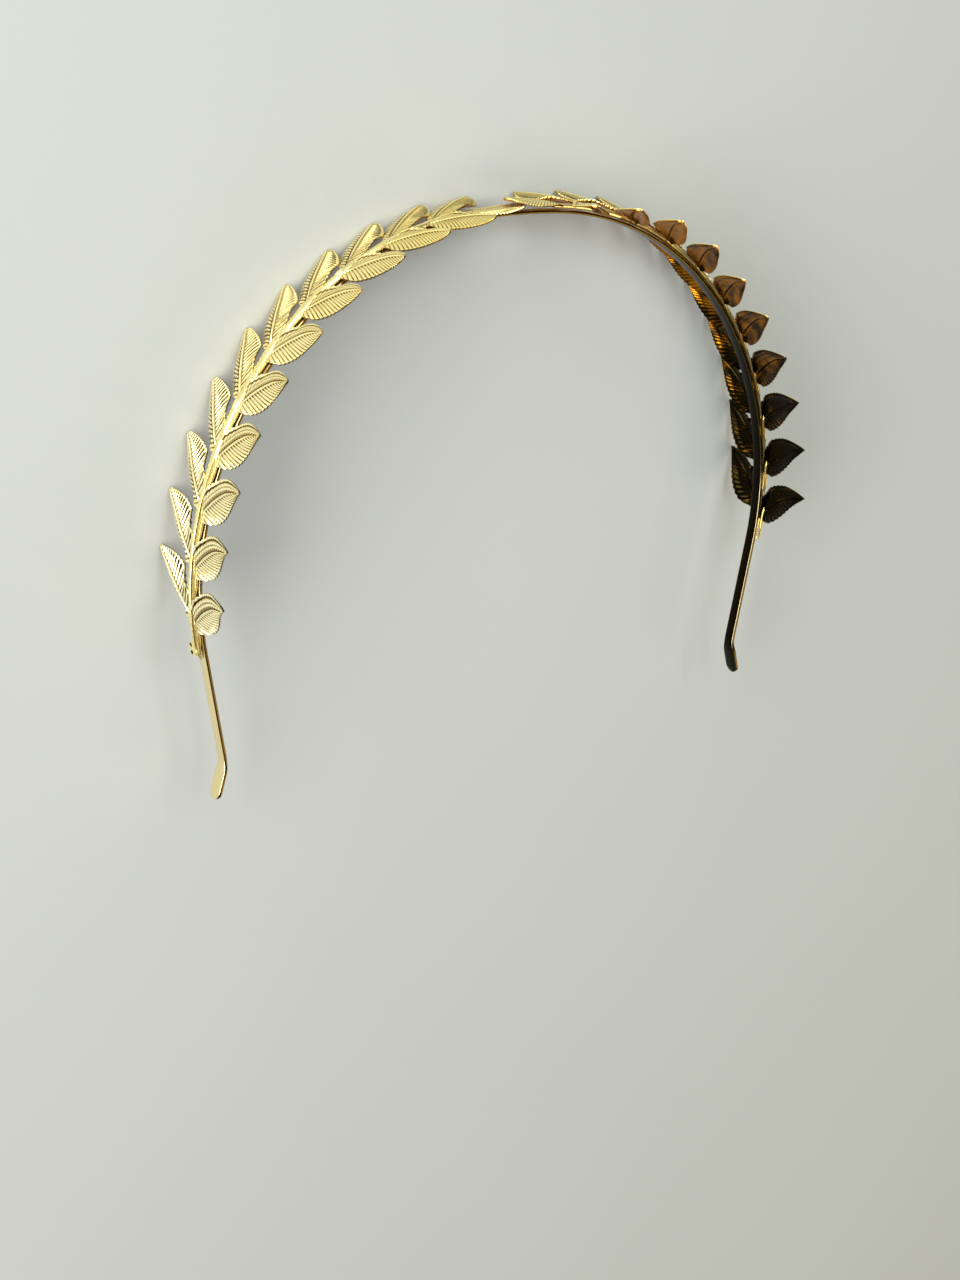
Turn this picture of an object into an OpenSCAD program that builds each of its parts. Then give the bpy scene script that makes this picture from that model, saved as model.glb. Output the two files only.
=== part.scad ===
// Headband of leaves: a bent metal strip with a leaf spray along each side.
// It lies on its back edge: +Y points to the crown, +Z to the wearer's front,
// and the origin is on the surface under the middle of its box.

/* [Strip] */
// Radius of the strip's outer face over the crown
crown_r = 160; // [140:1:200]
// Length of the crown's arc, from the middle to where the side begins
crown_run = 12; // [8:0.5:16]
// Radius of the strip's outer face down each side
side_r = 75; // [72:0.5:80]
// Length of each side's arc
side_run = 126; // [118:0.5:130]
// Length of each straight free end
tail_run = 26.5; // [20:0.5:32]
// Width of the strip
band_w = 2.9; // [2.6:0.1:3.4]
// Thickness of the strip
band_t = 0.8; // [0.7:0.05:1.2]

/* [Paddles] */
// Length of the paddle at each free end
paddle_len = 8.3; // [7:0.1:10]
// Width of the paddle
paddle_w = 3.9; // [3.7:0.1:4.6]
// Angle by which the paddle is bent outwards
paddle_bend = 26; // [12:1:30]

/* [Stem] */
// Gap between the strip and the stem that lies along it
stem_gap = 0.3; // [0.25:0.05:0.4]
// Width of the stem
stem_w = 1.8; // [1.5:0.1:2.2]
// Height of the stem
stem_h = 1.6; // [1.4:0.1:1.8]
// Distance of the stem's lower end from the crown, along the strip
stem_foot = 139; // [137:0.5:141]
// Distance of the stem's upper end from the crown, along the strip
stem_tip = 11.5; // [10:0.5:13]

/* [Leaves] */
// Number of leaf pairs on each side
pairs = 10; // [8:1:10]
// Distance of the lowest pair from the crown, along the strip
first_pair = 130.4; // [129:0.2:131]
// Distance from one pair to the next
pair_pitch = 11.9; // [11.7:0.05:12]
// How far a front leaf sits below the back leaf of its pair
stagger = 1.8; // [1:0.1:3]
// Width of a leaf
leaf_w = 8.4; // [7.5:0.1:9]
// Thickness of a leaf
leaf_t = 0.5; // [0.4:0.05:0.6]

/* [Front leaves] */
// Length of a front leaf from its base to its tip
front_len = 16.4; // [15:0.1:18]
// Angle of the lowest front leaf to the stem
front_low = 59; // [54:1:64]
// Angle of the front leaf nearest the crown to the stem
front_high = 47; // [44:1:54]
// Sideways bow of its midrib towards the crown
front_bow = 1; // [0:0.1:1.4]
// Rise of its midrib at the middle
front_rise = 0.4; // [0.2:0.1:1.2]
// Fall from its midrib to its edges
front_fall = 1.3; // [0.8:0.1:2]
// Height of its tip above its base
front_lift = 0.9; // [0:0.1:1.4]

/* [Back leaves] */
// Length of a back leaf from its base to its tip
back_len = 18.6; // [17:0.1:19.5]
// How far the lowest back leaf reaches behind the strip's middle
back_low = 12.2; // [10:0.1:13]
// How far the back leaf nearest the crown reaches
back_high = 9.2; // [8:0.1:10]
// Rise of its midrib at the middle
back_rise = 0.8; // [0.4:0.1:1.2]
// Fall from its midrib to its edges
back_fall = 1.5; // [0.8:0.1:2]

/* [Crown leaves] */
// Length of the leaf that ends each stem and crosses the middle
crown_len = 17.5; // [16:0.1:18.5]
// Width of that leaf
crown_leaf_w = 6.6; // [5.5:0.1:7.5]
// Distance of its base from the crown, along the strip
crown_leaf_at = 14.5; // [14:0.1:15.5]
// Fall of the right one's tip, towards the strip
crown_fall = 0.9; // [0.6:0.1:1]
// Height by which the left one lies over the right one at its tip
crown_lift = 1.8; // [1.7:0.1:2.4]

/* [End eye] */
// Distance of the pierced eye from the crown, along the strip
eye_at = 136.5; // [134:0.5:138]
// Length of the eye
eye_len = 3.4; // [3:0.1:4]
// How far the eye stands out behind the stem
eye_out = 1.3; // [1.1:0.1:1.8]
// Diameter of the eye's two holes
eye_hole = 0.7; // [0.5:0.05:0.8]

/* [Hidden] */
gold = "gold";
crown_turn = crown_run / crown_r * 180 / PI;
side_turn = side_run / side_r * 180 / PI;
side_end = crown_run + side_run;
band_end = side_end + tail_run;
// Straight steps that stand in for each half of the strip's curve
strip_steps = 48;
// Heights above the strip's outer face, of the stem's top and of a leaf's base
stem_top = stem_gap + stem_h;
leaf_root = stem_gap + leaf_t + 0.15;
// Reach beside the strip over which the cup of a leaf begins
cup_reach = 2.5;
// Steps along the stem, and the share by which its section narrows from its foot to its upper end
stem_steps = 33;
stem_taper = 0.15;
// Stalk that joins a leaf to the stem: its length, how far down the stem it is rooted, its diameter
stalk_len = 2.2;
stalk_root = 1.2;
stalk_d = 0.8;
// Shares of a leaf's length and half width at which its facets meet
leaf_u = [0.1, 0.28, 0.5, 0.72, 0.9];
leaf_v = [-1, -0.55, 0, 0.55, 1];
// Half width along a leaf, and the share of its length at which it is widest
blade_peak = 0.36;
function blade(u) = sqrt(u) * pow(1 - u, 0.9);

// Where each arc of the outer face starts, as [x, y] with the crown at [0, 0]
function on_arc(p, turn, r, a) = p + r * [sin(turn + a) - sin(turn), cos(turn + a) - cos(turn)];
side_start = on_arc([0, 0], 0, crown_r, crown_turn);
tail_start = on_arc(side_start, crown_turn, side_r, side_turn);
tail_dir = crown_turn + side_turn;
tail_end = tail_start + tail_run * [cos(tail_dir), -sin(tail_dir)];
paddle_dir = tail_dir - paddle_bend;
paddle_tip = tail_end + paddle_len * [cos(paddle_dir), -sin(paddle_dir)];
// Point and turn of the outer face at distance s from the crown
function face_turn(s) = s < crown_run ? s / crown_r * 180 / PI
    : s < side_end ? crown_turn + (s - crown_run) / side_r * 180 / PI : tail_dir;
function face_point(s) = s < crown_run ? on_arc([0, 0], 0, crown_r, face_turn(s))
    : s < side_end ? on_arc(side_start, crown_turn, side_r, face_turn(s) - crown_turn)
    : tail_start + (s - side_end) * [cos(tail_dir), -sin(tail_dir)];
// Point at distance s from the crown, across the strip and out from its face
function strip_point(s, across, up) =
    let (a = face_turn(s), p = face_point(s) + up * [sin(a), cos(a)])
    [p.x, p.y, across];
// The same point in the strip's plane, on the side that the sign of k names
function mirrored(p, k) = [k < 0 ? -p.x : p.x, p.y];

// Where each pair sits, from the lowest one up, and the angle of its two leaves to the stem
function pair_at(i) = first_pair - i * pair_pitch;
function front_open(i) = front_low + (front_high - front_low) * i / (pairs - 1);
function back_reach(i) =
    back_high + (back_low - back_high) * face_point(pair_at(i)).y / face_point(first_pair).y;
function back_open(i) = asin(back_reach(i) / back_len);
// Tips of the back leaves, as [height, depth], and the lean with which the part lies on them
back_tips = [for (i = [0 : pairs - 1]) let (s = pair_at(i) - stagger / 2, a = face_turn(s))
    [face_point(s).y + back_len * cos(back_open(i)) * sin(a) + leaf_root * cos(a), -back_reach(i)]];
lean = atan((back_tips[pairs - 1].y - back_tips[0].y) / (back_tips[pairs - 1].x - back_tips[0].x));
back_depth = max([for (p = back_tips) p.x * sin(lean) - p.y * cos(lean)]);
// How far the left crown leaf stands over the top of the stem
leaf_over = 1;
// Height of the crown's face in the part's frame, at which the box is centred
crown_y = -(paddle_tip.y + stem_top + leaf_over) / 2;

// Moves from the crown's face to the part's frame
module in_frame() {
    translate([0, crown_y, back_depth]) rotate([-lean, 0, 0]) children();
}

// Puts a shape at distance s: x runs to the crown, y to the front, z out of the strip
module on_strip(s) {
    p = face_point(s);
    a = face_turn(s);
    multmatrix([
        [-cos(a), 0, sin(a), p.x],
        [sin(a), 0, cos(a), p.y],
        [0, 1, 0, 0],
        [0, 0, 0, 1]
    ]) children();
}

// Strip between the paddles, bent along the arcs, with its outer face on the path
module strip() {
    stations = [for (i = [-strip_steps : strip_steps]) i / strip_steps * band_end];
    outer = [for (s = stations) mirrored(strip_point(abs(s), 0, 0), s)];
    inner = [for (s = stations) mirrored(strip_point(abs(s), 0, -band_t), s)];
    n = len(stations);
    translate([0, 0, -band_w / 2]) linear_extrude(band_w)
        polygon(concat(outer, [for (i = [n - 1 : -1 : 0]) inner[i]]));
}

// Flat rounded end that a hand can pull, bent away from the head
module paddle() {
    knuckle = 0.6 * band_t;
    neck = band_w / 2;
    wide = paddle_w / 2;
    translate([tail_end.x, tail_end.y, 0]) rotate([0, 0, -paddle_dir]) rotate([90, 0, 0])
        linear_extrude(band_t) {
            polygon([
                [-knuckle, -neck], [wide, -wide], [paddle_len - wide, -wide],
                [paddle_len - wide, wide], [wide, wide], [-knuckle, neck]
            ]);
            translate([paddle_len - wide, 0]) circle(r = wide, $fn = 48);
        }
}

module band() {
    color(gold) in_frame() {
        strip();
        paddle();
        mirror([1, 0, 0]) paddle();
    }
}

// Half-round section of the stem, as [across, up], with a size factor k
function stem_ring(k) =
    let (w = stem_w / 2 * k, mid = stem_gap + stem_h * k * 0.55, top = stem_gap + stem_h * k)
    [[-0.8 * w, stem_gap], [0.8 * w, stem_gap], [w, mid], [0.6 * w, top - 0.15],
        [0, top], [-0.6 * w, top - 0.15], [-w, mid]];

// Size of the stem's section at share k of its length: it narrows towards the crown and at its ends
function stem_size(k) = (1 - stem_taper * (1 - k)) * (1 - 0.35 * pow(abs(2 * k - 1), 8));

module stem() {
    n = len(stem_ring(1));
    points = [for (i = [0 : stem_steps]) let (k = i / stem_steps)
        for (q = stem_ring(stem_size(k))) strip_point(stem_tip + (stem_foot - stem_tip) * k, q.x, q.y)];
    sides = [for (i = [0 : stem_steps - 1]) for (j = [0 : n - 1])
        let (a = i * n + j, b = i * n + (j + 1) % n) each [[a, b, a + n], [b, b + n, a + n]]];
    ends = [[for (j = [n - 1 : -1 : 0]) j], [for (j = [0 : n - 1]) stem_steps * n + j]];
    polyhedron(points, concat(sides, ends));
}

// The forms of the leaves, as [side, angle, length, width, bow, rise, fall, lift]
function front_form(i) = [1, front_open(i), front_len, leaf_w, front_bow, front_rise, front_fall, front_lift];
function back_form(i) = [-1, back_open(i), back_len, leaf_w, 0, back_rise, back_fall, 0];
function crown_form(lift) =
    [1, 0, crown_len, crown_leaf_w, 0, front_rise, front_fall, lift - crown_fall];

// Point on a leaf: u runs from base to tip, v from the lower edge to the crown's, under is depth
function leaf_point(u, v, form, under) =
    let (
        side = form[0], open = form[1], size = form[2], half = form[3] / 2,
        bow = form[4], rise = form[5], drop = form[6], lift = form[7],
        width = blade(u) / blade(blade_peak),
        along = size * u,
        across = bow * 4 * u * (1 - u) + v * half * width,
        out = along * sin(open) - across * cos(open),
        cup = max(0, min(1, (abs(out) - band_w / 2) / cup_reach)),
        fall = drop * cup * width * min(1, 4 * u) * (0.35 * abs(v) + 0.65 * v * v)
    )
    [along * cos(open) + across * sin(open), side * out,
        leaf_root + rise * sin(180 * u) + lift * u - fall - under];

// Thin cupped leaf with a ridge along its middle, pointed at its tip
module leaf(form) {
    rows = len(leaf_u);
    cols = len(leaf_v);
    sheet = rows * cols + 2;
    points = [for (under = [0, leaf_t]) each concat(
        [leaf_point(0, 0, form, under)],
        [for (u = leaf_u) for (v = leaf_v) leaf_point(u, v, form, under)],
        [leaf_point(1, 0, form, under)]
    )];
    // Facets of the upper sheet, then its outline from the base round to the base
    top = concat(
        [for (j = [0 : cols - 2]) [0, 1 + j, 2 + j]],
        [for (i = [0 : rows - 2]) for (j = [0 : cols - 2]) let (a = 1 + i * cols + j)
            each [[a, a + cols, a + 1], [a + 1, a + cols, a + cols + 1]]],
        [for (j = [0 : cols - 2]) let (a = 1 + (rows - 1) * cols + j) [a, sheet - 1, a + 1]]
    );
    rim = concat([0], [for (i = [0 : rows - 1]) 1 + i * cols], [sheet - 1],
        [for (i = [rows - 1 : -1 : 0]) (i + 1) * cols]);
    under = [for (f = top) [f[2], f[1], f[0]] + sheet * [1, 1, 1]];
    wall = [for (i = [0 : len(rim) - 1]) let (a = rim[i], b = rim[(i + 1) % len(rim)])
        each [[a, a + sheet, b], [b, a + sheet, b + sheet]]];
    faces = concat(top, under, wall);
    polyhedron(points, form[0] > 0 ? faces : [for (f = faces) [f[2], f[1], f[0]]]);
}

// Short round stalk that joins a leaf's base to the stem
module stalk(side, open) {
    reach = [stalk_len * cos(open) + stalk_root, side * stalk_len * sin(open)];
    translate([-stalk_root, 0, stem_gap + 0.35 * stem_h]) rotate([0, 90, atan2(reach.y, reach.x)])
        cylinder(d = stalk_d, h = norm(reach), $fn = 24);
}

module leaf_pair(i) {
    on_strip(pair_at(i) + stagger / 2) {
        leaf(front_form(i));
        stalk(1, front_open(i));
    }
    on_strip(pair_at(i) - stagger / 2) {
        leaf(back_form(i));
        stalk(-1, back_open(i));
    }
}

// Small pierced eye behind the stem's lower end
module eye() {
    on_strip(eye_at) translate([0, -stem_w / 2, stem_gap + stem_h * 0.3])
        linear_extrude(stem_h * 0.45) difference() {
            scale([eye_len / 2, eye_out]) circle(r = 1, $fn = 16);
            for (x = [-0.25, 0.25]) translate([x * eye_len, -eye_out * 0.35])
                circle(d = eye_hole, $fn = 10);
        }
}

// One side's soldered spray: stem, leaf pairs, crown leaf and end eye
module spray(lift) {
    stem();
    for (i = [0 : pairs - 1]) leaf_pair(i);
    on_strip(crown_leaf_at) leaf(crown_form(lift));
    eye();
}

module spray_left() {
    color(gold) in_frame() spray(crown_lift);
}

module spray_right() {
    color(gold) in_frame() mirror([1, 0, 0]) spray(0);
}

band();
spray_right();
spray_left();
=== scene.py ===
"""Leaf headband: a polished strip with a soldered leaf spray along each side, lying on a pale floor."""

import math
import random

import bmesh
import bpy
from bpy.props import FloatProperty, FloatVectorProperty, IntProperty, PointerProperty
from mathutils import Matrix, Vector


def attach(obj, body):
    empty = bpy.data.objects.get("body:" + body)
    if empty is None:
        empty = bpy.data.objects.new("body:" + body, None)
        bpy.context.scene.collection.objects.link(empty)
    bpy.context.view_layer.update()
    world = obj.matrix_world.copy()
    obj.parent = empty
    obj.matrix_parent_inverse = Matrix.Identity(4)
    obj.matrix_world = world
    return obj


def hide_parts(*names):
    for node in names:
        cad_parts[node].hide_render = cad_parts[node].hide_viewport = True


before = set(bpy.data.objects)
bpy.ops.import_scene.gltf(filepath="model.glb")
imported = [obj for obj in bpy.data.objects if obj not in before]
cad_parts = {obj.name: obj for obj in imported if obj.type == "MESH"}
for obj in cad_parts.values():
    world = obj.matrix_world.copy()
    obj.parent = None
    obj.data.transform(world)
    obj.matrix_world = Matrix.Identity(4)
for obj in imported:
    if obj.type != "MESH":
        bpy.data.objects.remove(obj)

bl_info = {
    "name": "Leaf Headband",
    "version": (1, 0, 0),
    "blender": (4, 5, 0),
    "location": "View3D > Sidebar > Headband",
    "description": "Builds a metal headband with cupped leaves along each side",
    "category": "Object",
}

MM = 0.001
ROOT_BODY = "root"
SIDES = ("right", "left")
FRONT = 1
BACK = -1


# Properties that a user would change


def length(label, mm, text):
    """Length property whose default is given in millimetres."""
    return FloatProperty(name=label, description=text, default=mm * MM, unit="LENGTH", precision=5)


def angle(label, degrees, text):
    """Angle property whose default is given in degrees."""
    return FloatProperty(name=label, description=text, default=math.radians(degrees), subtype="ANGLE")


def share(label, value, text):
    """Property between 0 and 1."""
    return FloatProperty(name=label, description=text, default=value, min=0.0, max=1.0, subtype="FACTOR")


def colour(label, rgb, text):
    """Colour property, linear."""
    return FloatVectorProperty(name=label, description=text, default=rgb, size=3, min=0.0, max=1.0,
                               subtype="COLOR")


class StripSizes(bpy.types.PropertyGroup):
    """Sizes of the headband's strip."""
    crown_r: length("Crown radius", 160, "Radius of the outer face over the crown")
    crown_run: length("Crown length", 12, "Length of the crown's arc, from its middle")
    side_r: length("Side radius", 75, "Radius of the outer face down each side")
    side_run: length("Side length", 126, "Length of each side's arc")
    tail_run: length("Tail length", 26.5, "Length of each straight free end")
    width: length("Width", 2.9, "Width of the strip")
    thickness: length("Thickness", 0.8, "Thickness of the strip")
    bevel: length("Bevel", 0.22, "Width of the rounding along the strip's edges")
    paddle_len: length("Paddle length", 8.3, "Length of the flat paddle at each end")
    paddle_w: length("Paddle width", 3.9, "Width of the paddle")
    paddle_bend: angle("Paddle bend", 26, "Angle by which the paddle is bent outwards")
    paddle_knuckle: length("Paddle knuckle", 3, "Length over which the paddle bends")


class SpraySizes(bpy.types.PropertyGroup):
    """Sizes of the stems and of the rows of leaves."""
    stem_gap: length("Stem gap", 0.3, "Gap between the strip and the stem")
    stem_w: length("Stem width", 1.8, "Width of the stem at its foot")
    stem_h: length("Stem height", 1.6, "Height of the stem")
    stem_taper: share("Stem taper", 0.15, "Share by which the stem narrows towards the crown")
    stem_foot: length("Stem foot", 139, "Distance of the stem's lower end from the crown")
    stem_tip: length("Stem tip", 11.5, "Distance of the stem's upper end from the crown")
    pairs: IntProperty(name="Pairs", description="Leaf pairs on each side", default=10, min=2)
    first_pair: length("First pair", 130.4, "Distance of the lowest pair from the crown")
    pitch: length("Pitch", 11.9, "Distance from one pair to the next")
    stagger: length("Stagger", 1.8, "How far a front leaf sits below the back leaf of its pair")
    leaf_w: length("Leaf width", 8.4, "Width of a leaf")
    leaf_t: length("Leaf thickness", 0.5, "Thickness of a leaf")
    front_len: length("Front leaf length", 16.4, "Length of a front leaf")
    front_low: angle("Lowest front angle", 59, "Angle of the lowest front leaf to the stem")
    front_high: angle("Highest front angle", 47, "Angle of the highest front leaf to the stem")
    front_bow: length("Front bow", 1, "Sideways bow of a front leaf towards the crown")
    front_rise: length("Front rise", 0.4, "Rise of a front leaf's midrib")
    front_fall: length("Front fall", 1.3, "Fall of a front leaf from its midrib to its edges")
    front_lift: length("Front lift", 0.9, "Height of a front leaf's tip above its base")
    back_len: length("Back leaf length", 18.6, "Length of a back leaf")
    back_low: length("Lowest back reach", 12.2, "How far the lowest back leaf reaches behind the strip")
    back_high: length("Highest back reach", 9.2, "How far the highest back leaf reaches")
    back_rise: length("Back rise", 0.8, "Rise of a back leaf's midrib")
    back_fall: length("Back fall", 1.5, "Fall of a back leaf from its midrib to its edges")
    crown_len: length("Crown leaf length", 17.5, "Length of the leaf that crosses the middle")
    crown_w: length("Crown leaf width", 6.6, "Width of that leaf")
    crown_at: length("Crown leaf place", 14.5, "Distance of its base from the crown")
    crown_fall: length("Crown leaf fall", 0.9, "Fall of the right one's tip")
    crown_lift: length("Crown leaf lift", 1.8, "Height of the left one's tip over the right one's")
    eye_at: length("Eye place", 136.5, "Distance of the pierced eye from the crown")
    eye_len: length("Eye length", 3.4, "Length of the eye")
    eye_out: length("Eye reach", 1.3, "How far the eye stands out behind the stem")
    eye_hole: length("Eye hole", 0.8, "Diameter of the eye's holes")
    ribs: IntProperty(name="Ribs", description="Pressed ribs along one of the lowest leaves", default=17,
                      min=4)
    more_ribs: IntProperty(name="More ribs", description="Ribs that a leaf at the crown has more", default=7)
    tip_spring: length("Tip spring", 1.8, "How far leaf tips spring up near the crown on the left")
    rib_height: length("Rib height", 0.15, "Height of a leaf's pressed ribs")
    seed: IntProperty(name="Seed", description="Seed of the small differences between leaves", default=7)


class FinishColours(bpy.types.PropertyGroup):
    """Colours of the metal and of the floor."""
    # The material mixes these by relief: pale and warm gold are the gold's own colour and also a painted
    # highlight on crests; deep gold and the darkest groove colour are painted shade in grooves.
    pale_gold: colour("Pale gold", (1.0, 0.93, 0.62), "Raised gold of the lowest leaves")
    warm_gold: colour("Warm gold", (1.0, 0.83, 0.26), "Raised gold of the leaves at the crown")
    groove_shade_gold: colour("Deep gold", (0.36, 0.22, 0.03), "Gold in grooves and hollows")
    strip_gold: colour("Strip gold", (0.96, 0.81, 0.47), "Polished strip")
    # Painted shadow in the deepest grooves.
    groove_shadow: colour("Groove Shadow", (0.05, 0.03, 0.005), "Darkened metal in the deepest grooves")
    # Painted reflection on the leaves' backs, amber towards the crown.
    amber_back_reflection: colour("Amber back", (0.42, 0.155, 0.005), "Lacquered backs of the leaves at the crown")
    # Painted reflection, near black, on the low leaves' backs and on the strip's inner face.
    black_back_reflection: colour("Black back", (0.010, 0.007, 0.002), "Lacquered backs of the low leaves and strip")
    floor: colour("Floor", (0.44, 0.455, 0.435), "Pale floor")


# The arch that the strip follows


class Arch:
    """The strip's outer face from the crown down one side, in its own plane, and the way it lies."""

    def __init__(self, strip, spray):
        self.strip = strip
        self.spray = spray
        half_bend = strip.paddle_knuckle / 2
        clearance = 0.15 * MM
        self.band_end = strip.crown_run + strip.side_run + strip.tail_run
        self.end = self.band_end + strip.paddle_len
        self.runs = (
            (strip.crown_run, 1 / strip.crown_r),
            (strip.side_run, 1 / strip.side_r),
            (strip.tail_run - half_bend, 0.0),
            (2 * half_bend, -strip.paddle_bend / (2 * half_bend)),
            (strip.paddle_len - half_bend, 0.0),
        )
        self.leaf_root = spray.stem_gap + spray.leaf_t + clearance
        self.pose = self.resting_pose()

    def at(self, s):
        """Position and turn of the outer face at distance s from the crown."""
        x, y, turn = 0.0, 0.0, 0.0
        for run, bend in self.runs:
            step = min(s, run)
            turned = turn + step * bend
            if bend:
                x += (math.sin(turned) - math.sin(turn)) / bend
                y += (math.cos(turned) - math.cos(turn)) / bend
            else:
                x += step * math.cos(turn)
                y -= step * math.sin(turn)
            turn = turned
            s -= step
            if s <= 0:
                break
        return x, y, turn

    def place(self, s, across, up):
        """Point at distance s from the crown, across the strip and out from its face."""
        x, y, turn = self.at(s)
        return Vector((x + up * math.sin(turn), y + up * math.cos(turn), across))

    def pair_at(self, i):
        """Distance of leaf pair i from the crown, counted from the lowest one."""
        return self.spray.first_pair - i * self.spray.pitch

    def front_open(self, i):
        """Angle of front leaf i to the stem."""
        p = self.spray
        return p.front_low + (p.front_high - p.front_low) * i / (p.pairs - 1)

    def back_reach(self, i):
        """How far back leaf i reaches behind the strip's middle."""
        p = self.spray
        drop = self.at(self.pair_at(i))[1] / self.at(p.first_pair)[1]
        return p.back_high + (p.back_low - p.back_high) * drop

    def back_open(self, i):
        """Angle of back leaf i to the stem."""
        return math.asin(self.back_reach(i) / self.spray.back_len)

    def resting_pose(self):
        """Matrix from the arch's own plane to the floor, on which the back leaves' tips lie."""
        p = self.spray
        tips = []
        for i in range(p.pairs):
            _, y, turn = self.at(self.pair_at(i) - p.stagger / 2)
            height = y + p.back_len * math.cos(self.back_open(i)) * math.sin(turn)
            tips.append((height + self.leaf_root * math.cos(turn), -self.back_reach(i)))
        lean = math.atan((tips[-1][1] - tips[0][1]) / (tips[-1][0] - tips[0][0]))
        depth = max(y * math.sin(lean) - z * math.cos(lean) for y, z in tips)
        leaf_over = 1 * MM
        rise = -(self.at(self.end)[1] + p.stem_gap + p.stem_h + leaf_over) / 2
        return Matrix.Translation((0, rise, depth)) @ Matrix.Rotation(-lean, 4, "X")

    def sided(self, side):
        """Matrix that puts a piece made for the left side on the named side."""
        flip = Matrix.Scale(-1, 4, (1, 0, 0)) if side == "right" else Matrix.Identity(4)
        return self.pose @ flip


def arch_of(context):
    """Arch from the scene's own sizes."""
    return Arch(context.scene.headband_strip, context.scene.headband_spray)


# Mesh helpers


def smooth_step(a, b, x):
    """Smooth rise from 0 at a to 1 at b and flat beyond both; a may be the greater one."""
    t = min(1.0, max(0.0, (x - a) / (b - a)))
    return t * t * (3 - 2 * t)


def bell(x, width):
    """1 at x = 0, falling smoothly to 0 at a few widths."""
    return math.exp(-(x / width) ** 2)


def circle(count):
    """Cosine and sine of each even turn round a circle."""
    turns = [2 * math.pi * k / count for k in range(count)]
    return [(math.cos(turn), math.sin(turn)) for turn in turns]


def outward(mesh):
    """Turns each closed shell's faces outwards."""
    work = bmesh.new()
    work.from_mesh(mesh)
    bmesh.ops.recalc_face_normals(work, faces=work.faces)
    work.to_mesh(mesh)
    work.free()
    mesh.update()


def give_values(mesh, values):
    """Stores each named value on the mesh's points: a list, or one number for all of them."""
    for key, value in values.items():
        numbers = value if isinstance(value, list) else [value] * len(mesh.vertices)
        mesh.attributes.new(key, "FLOAT", "POINT").data.foreach_set("value", numbers)


def mesh_from(name, points, faces, sharp=35.0, **values):
    """Smooth-shaded closed mesh that faces outwards, with named values on its points."""
    mesh = bpy.data.meshes.new(name)
    mesh.from_pydata(points, [], faces)
    give_values(mesh, values)
    mesh.polygons.foreach_set("use_smooth", [True] * len(mesh.polygons))
    mesh.set_sharp_from_angle(angle=math.radians(sharp))
    mesh.update()
    outward(mesh)
    return mesh


def swept(rings):
    """Points and faces of a closed skin over rings of equal length."""
    count = len(rings[0])
    points = [p for ring in rings for p in ring]
    faces = []
    for i in range(len(rings) - 1):
        for j in range(count):
            a = i * count + j
            b = i * count + (j + 1) % count
            faces.append((a, a + count, b + count, b))
    last = (len(rings) - 1) * count
    faces.append(tuple(range(count)))
    faces.append(tuple(last + j for j in reversed(range(count))))
    return points, faces


def piece_from(mesh, name, matrix, metal, nodes):
    """Finished piece of the headband: placed in its mesh, facing outwards, riding on the body."""
    mesh.name = name
    mesh.transform(matrix)
    if matrix.determinant() < 0:
        mesh.flip_normals()
    mesh.materials.clear()
    mesh.materials.append(metal)
    piece = bpy.data.objects.new(name, mesh)
    bpy.context.scene.collection.objects.link(piece)
    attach(piece, ROOT_BODY)
    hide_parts(*nodes)


def spray_piece(mesh, kind, side, arch, metal):
    """Finished piece of the named side's spray, from a mesh made for the left side."""
    piece_from(mesh, f"{kind}_{side}", arch.sided(side), metal, ["spray_" + side])


# Strip


def strip_half_width(strip, arch, s):
    """Half the strip's width at distance s from the crown: it widens to a rounded paddle."""
    narrow = strip.width / 2
    wide = strip.paddle_w / 2
    least = 0.12 * MM
    shoulder = arch.band_end - 0.5 * MM
    full = arch.band_end + 2.2 * MM
    half = narrow + (wide - narrow) * smooth_step(shoulder, full, s)
    left = arch.end - s
    if left < wide:
        half = min(half, math.sqrt(max(0.0, wide * wide - (wide - left) ** 2)))
    return max(half, least)


def strip_stations(arch):
    """Distances of the strip's sections from the crown, negative on the right, closer at the tips."""
    step = 0.9 * MM
    tip_run = 2 * MM
    tip_steps = 14
    half = [i * step for i in range(int((arch.end - tip_run) / step) + 1)]
    start = half[-1]
    for k in range(tip_steps):
        half.append(start + (arch.end - start) * math.sin(math.pi / 2 * (k + 1) / tip_steps))
    return [-s for s in reversed(half[1:])] + half


def strip_section(strip, wide):
    """Rounded section of the strip, as places across it and up from its face."""
    bevel = min(strip.bevel, 0.6 * wide)
    near = -bevel
    far = bevel - strip.thickness
    rounding = 3
    section = []
    for corner, (sign, centre) in enumerate(((1, near), (-1, near), (-1, far), (1, far))):
        for k in range(rounding + 1):
            turn = math.pi / 2 * (corner + k / rounding)
            section.append((sign * (wide - bevel) + bevel * math.cos(turn), centre + bevel * math.sin(turn)))
    return section


def strip_mesh(arch):
    """Whole strip from paddle to paddle, with rounded edges, side edges painted dark and an inner face
    painted near black as a dark reflection.
    """
    strip = arch.strip
    rings = []
    relief = []
    shade = []
    for s in strip_stations(arch):
        wide = strip_half_width(strip, arch, abs(s))
        ring = []
        for across, up in strip_section(strip, wide):
            p = arch.place(abs(s), across, up)
            if s < 0:
                p.x = -p.x
            ring.append(p)
            # Painted reflection: the side edges get a low relief, so they come out dark.
            relief.append(0.2 - 0.9 * smooth_step(0.9, 1.0, abs(across) / wide))
            # Painted reflection: the inner face is marked for the near-black back colour.
            shade.append(smooth_step(0.9, 1.0, -up / strip.thickness))
        rings.append(ring)
    # A high tone makes the painted inner face near black and the gold face paler.
    return mesh_from("strip", *swept(rings), sharp=60, relief=relief, shade=shade, tone=0.9)


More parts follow.
